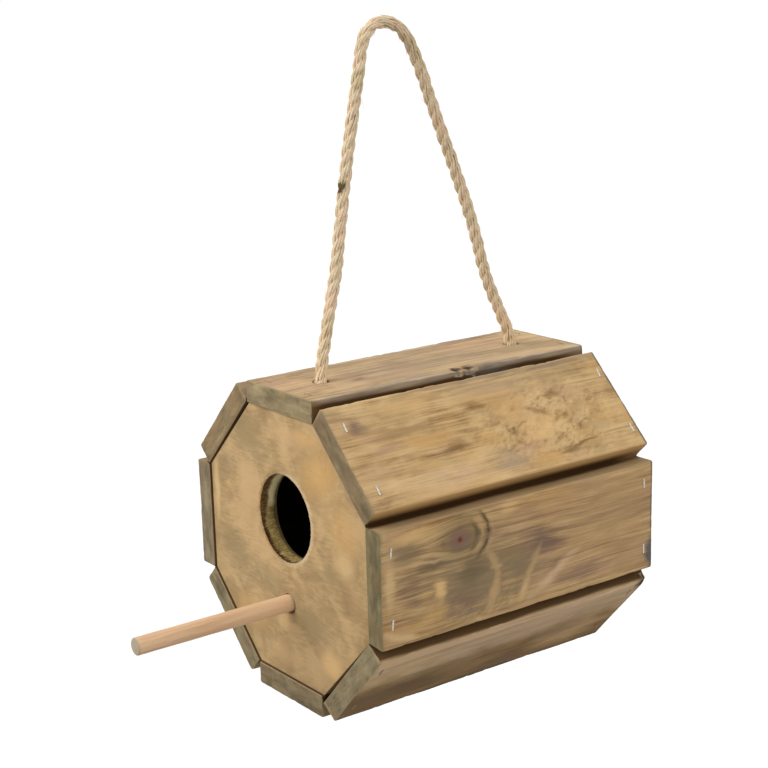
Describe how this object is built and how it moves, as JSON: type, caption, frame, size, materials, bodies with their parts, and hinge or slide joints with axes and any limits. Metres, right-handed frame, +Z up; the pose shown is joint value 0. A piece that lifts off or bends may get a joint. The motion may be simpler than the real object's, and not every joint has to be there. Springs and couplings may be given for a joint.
{
  "type": "nesting barrel",
  "caption": "Hanging octagonal wooden nesting barrel: stained boards stapled round two end panels, a round entrance with a dowel perch, and a rope loop to hang it by.",
  "frame": {"origin": "where a hook seats under the top of the rope's loop", "axes": "+Z up, +Y from the entrance towards the back along the barrel's axis, +X to the right seen from the entrance"},
  "size_m": [0.1836, 0.295, 0.3821],
  "materials": {
    "slat_wood": "stained and brushed softwood, matt",
    "panel_wood": "stained softwood panel, matt",
    "perch_wood": "bare sanded hardwood dowel",
    "rope_jute": "three-strand twisted jute rope",
    "staple_steel": "galvanised wire, slightly dull"
  },
  "bodies": {
    "hanger": {"rope_loop": "rope_jute"},
    "barrel": {"top_slat": "slat_wood", "upper_right_slat": "slat_wood", "right_slat": "slat_wood", "lower_right_slat": "slat_wood", "bottom_slat": "slat_wood", "lower_left_slat": "slat_wood", "left_slat": "slat_wood", "upper_left_slat": "slat_wood", "top_slat_staples": "staple_steel", "upper_right_slat_staples": "staple_steel", "right_slat_staples": "staple_steel", "lower_right_slat_staples": "staple_steel", "bottom_slat_staples": "staple_steel", "lower_left_slat_staples": "staple_steel", "left_slat_staples": "staple_steel", "upper_left_slat_staples": "staple_steel", "front_panel": "panel_wood", "back_panel": "panel_wood", "perch": "perch_wood", "front_rope_knot": "rope_jute", "rear_rope_knot": "rope_jute"}
  },
  "joints": [
    {"name": "barrel_swing", "type": "hinge", "parent": "hanger", "child": "barrel", "pos_m": [0, 0.02, -0.18695], "axis": [0, 1, 0], "range_deg": [-90, 90]}
  ]
}
